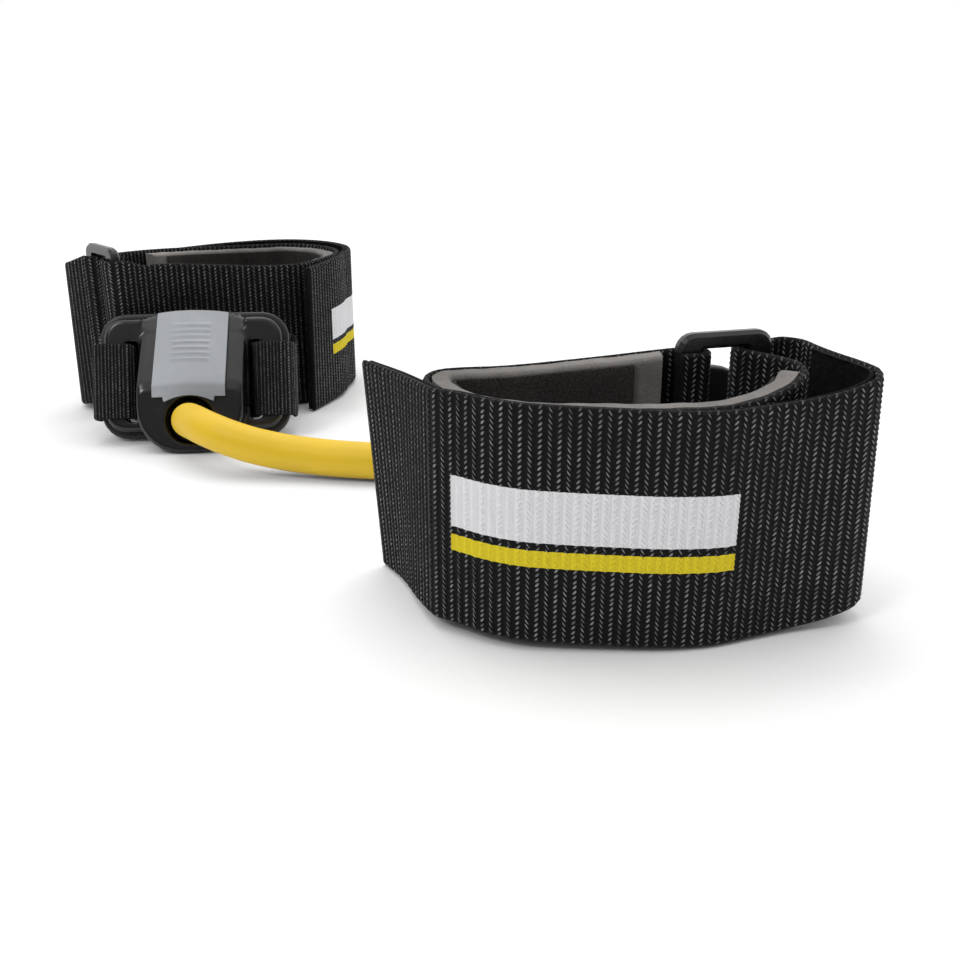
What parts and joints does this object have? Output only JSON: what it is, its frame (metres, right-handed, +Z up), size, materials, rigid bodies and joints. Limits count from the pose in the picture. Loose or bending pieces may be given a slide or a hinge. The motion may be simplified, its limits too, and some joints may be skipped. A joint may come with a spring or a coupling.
{
  "type": "lateral resistance trainer",
  "caption": "Padded hook-and-loop ankle cuffs, each with a slip ring and a moulded connector, joined by a stretch tube for side-step training.",
  "frame": {"origin": "on the floor under the middle of the two cuffs' bounding box", "axes": "+Z up, along the straps' width; +Y from the pictured front to the back; +X to the right in the picture"},
  "size_m": [0.2234, 0.2361, 0.0586],
  "materials": {
    "webbing": "woven",
    "foam": "matte foam",
    "lining": "brushed",
    "pile": "looped pile",
    "ring_nylon": "satin",
    "gloss_nylon": "gloss",
    "satin_nylon": "satin",
    "grey_cap": "satin",
    "tube": "smooth latex",
    "plug": "matte"
  },
  "bodies": {
    "left_cuff": {"left_base_strap": "webbing", "left_tail_strap": "webbing", "left_foam_pad": "foam", "left_pad_lining": "lining", "left_hook_patch": "pile", "left_loop_patch": "pile", "left_connector_band": "webbing"},
    "left_tail": {"left_tail_end": "webbing", "left_tail_loop_patch": "pile"},
    "left_ring": {"left_ring": "ring_nylon"},
    "left_connector": {"left_housing": "gloss_nylon", "left_back_plate": "satin_nylon", "left_cap": "grey_cap", "left_collar": "satin_nylon", "left_tube_plug": "plug", "resistance_tube": "tube"},
    "right_connector": {"right_housing": "gloss_nylon", "right_back_plate": "satin_nylon", "right_cap": "grey_cap", "right_collar": "satin_nylon", "right_tube_plug": "plug"},
    "right_cuff": {"right_base_strap": "webbing", "right_tail_strap": "webbing", "right_foam_pad": "foam", "right_pad_lining": "lining", "right_hook_patch": "pile", "right_loop_patch": "pile", "right_connector_band": "webbing"},
    "right_tail": {"right_tail_end": "webbing", "right_tail_loop_patch": "pile"},
    "right_ring": {"right_ring": "ring_nylon"}
  },
  "joints": [
    {"name": "left_connector_tilt", "type": "hinge", "parent": "left_cuff", "child": "left_connector", "pos_m": [-0.06132, 0.02754, 0.01742], "axis": [0.9962, 0.0872, 0], "range_deg": [-2, 20], "deforming": ["left_connector_band"]},
    {"name": "tube_stretch", "type": "slide", "parent": "left_connector", "child": "right_connector", "axis": [0.8996, -0.4368, 0], "range_m": [0, 0.2], "stiffness_N_per_m": 270, "deforming": ["resistance_tube"]},
    {"name": "right_connector_tilt", "type": "hinge", "parent": "right_connector", "child": "right_cuff", "pos_m": [0.064, -0.0644, 0.0241], "axis": [-1, 0, 0], "range_deg": [-5, 20], "deforming": ["right_connector_band"]},
    {"name": "left_tail_peel", "type": "hinge", "parent": "left_cuff", "child": "left_tail", "pos_m": [-0.01844, 0.08228, 0.026], "axis": [0, 0, 1], "range_deg": [0, 75]},
    {"name": "right_tail_peel", "type": "hinge", "parent": "right_cuff", "child": "right_tail", "pos_m": [0.02572, -0.10998, 0.026], "axis": [0, 0, 1], "range_deg": [0, 75]},
    {"name": "left_ring_swing", "type": "hinge", "parent": "left_cuff", "child": "left_ring", "pos_m": [-0.0883, 0.0405, 0.0298], "axis": [0, 0, 1], "range_deg": [-3, 3]},
    {"name": "right_ring_swing", "type": "hinge", "parent": "right_cuff", "child": "right_ring", "pos_m": [0.0757, -0.0846, 0.0298], "axis": [0, 0, 1], "range_deg": [-3, 3]}
  ]
}
